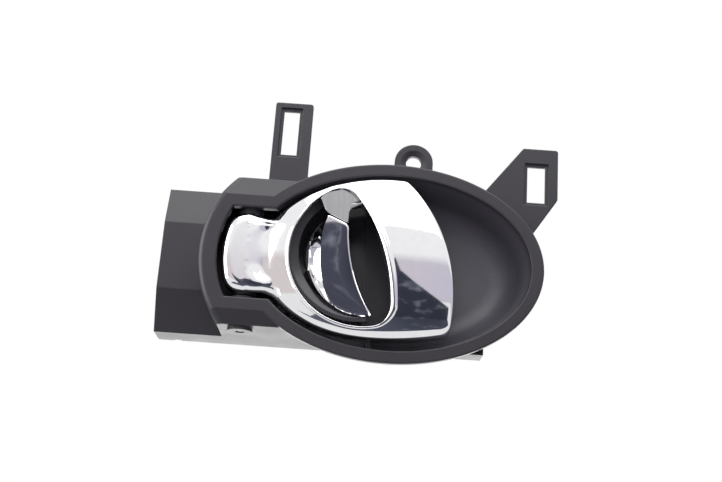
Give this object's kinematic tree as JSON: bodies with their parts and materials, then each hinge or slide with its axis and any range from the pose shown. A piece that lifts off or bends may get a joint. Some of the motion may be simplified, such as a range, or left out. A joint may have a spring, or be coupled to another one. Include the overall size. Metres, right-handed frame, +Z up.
{
  "type": "car interior door handle",
  "caption": "Inside door handle of a car: black moulded housing with an oval finger pocket, a sprung chrome pull lever on a vertical pin and a chrome lock knob that rocks in the lever's eye.",
  "frame": {"origin": "centre of the fixing hole, on the back face of the fixing ear", "axes": "+X to the right of the handle as it is seen in the door, +Y into the door, +Z up"},
  "size_m": [0.1823, 0.0545, 0.1235],
  "materials": {
    "housing": "satin",
    "plating": "polished",
    "rocker": "matte",
    "steel": "satin",
    "spring_steel": "satin",
    "rubber": "matte"
  },
  "bodies": {
    "base": {"housing": "housing", "lever_pin": "steel", "lever_spring": "spring_steel", "lever_stops": "rubber", "lock_pin": "steel", "lock_detent_spring": "spring_steel"},
    "lever": {"pull_lever": "plating"},
    "lock": {"lock_knob": "plating", "lock_rocker": "rocker"}
  },
  "joints": [
    {"name": "lever_pull", "type": "hinge", "parent": "base", "child": "lever", "pos_m": [-0.0732, 0.001, -0.0502], "axis": [0, 0, -1], "range_deg": [0, 35], "stiffness_Nm_per_rad": 0.5, "springref_deg": -20.05, "deforming": ["lever_spring"]},
    {"name": "lock_rock", "type": "hinge", "parent": "base", "child": "lock", "pos_m": [-0.0406, 0.0025, -0.0456], "axis": [0, 0, -1], "range_deg": [0, 18], "deforming": ["lock_detent_spring"]}
  ]
}
